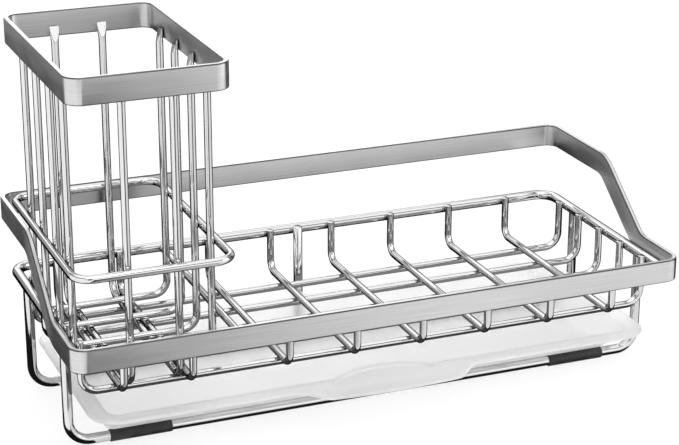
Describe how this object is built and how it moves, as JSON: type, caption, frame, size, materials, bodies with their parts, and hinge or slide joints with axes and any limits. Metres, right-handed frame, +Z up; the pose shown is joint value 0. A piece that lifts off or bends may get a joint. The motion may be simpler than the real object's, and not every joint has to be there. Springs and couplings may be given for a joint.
{
  "type": "kitchen sink caddy",
  "caption": "Stainless wire sink caddy with a guard band, an open basket, a lift-out tall holder and a slide-out drip tray.",
  "frame": {"origin": "bottom centre of the overall box, on the counter", "axes": "+X to the right along the length, with the tall holder at -X; -Y is the front, where the tray slides out; +Z up"},
  "size_m": [0.27, 0.1258, 0.1607],
  "materials": {
    "polished_wire": "polished stainless steel wire",
    "satin_strap": "satin stainless strap with bright edges",
    "black_rubber": "matt black",
    "frosted_plastic": "frosted translucent"
  },
  "bodies": {
    "rack": {"guard_band": "satin_strap", "basket_rim": "polished_wire", "bay_divider": "polished_wire", "cross_wire_1": "polished_wire", "cross_wire_2": "polished_wire", "cross_wire_3": "polished_wire", "cross_wire_4": "polished_wire", "cross_wire_5": "polished_wire", "cross_wire_6": "polished_wire", "cross_wire_7": "polished_wire", "cross_wire_8": "polished_wire", "long_wire_1": "polished_wire", "long_wire_2": "polished_wire", "long_wire_3": "polished_wire", "long_wire_4": "polished_wire", "long_wire_5": "polished_wire", "stand_front_wire": "polished_wire", "stand_back_wire": "polished_wire", "stand_mid_leg": "polished_wire", "foot_sleeve_1": "black_rubber", "foot_sleeve_2": "black_rubber", "foot_sleeve_3": "black_rubber", "foot_sleeve_4": "black_rubber"},
    "holder": {"holder_band": "satin_strap", "holder_ring": "polished_wire", "holder_long_wire_1": "polished_wire", "holder_long_wire_2": "polished_wire", "holder_long_wire_3": "polished_wire", "holder_long_wire_4": "polished_wire", "holder_cross_wire_1": "polished_wire", "holder_cross_wire_2": "polished_wire"},
    "tray": {"drip_tray": "frosted_plastic"}
  },
  "joints": [
    {"name": "holder_lift", "type": "slide", "parent": "rack", "child": "holder", "axis": [0, 0, 1], "range_m": [0, 0.12]},
    {"name": "tray_slide", "type": "slide", "parent": "rack", "child": "tray", "axis": [0, -1, 0], "range_m": [0, 0.11]}
  ]
}
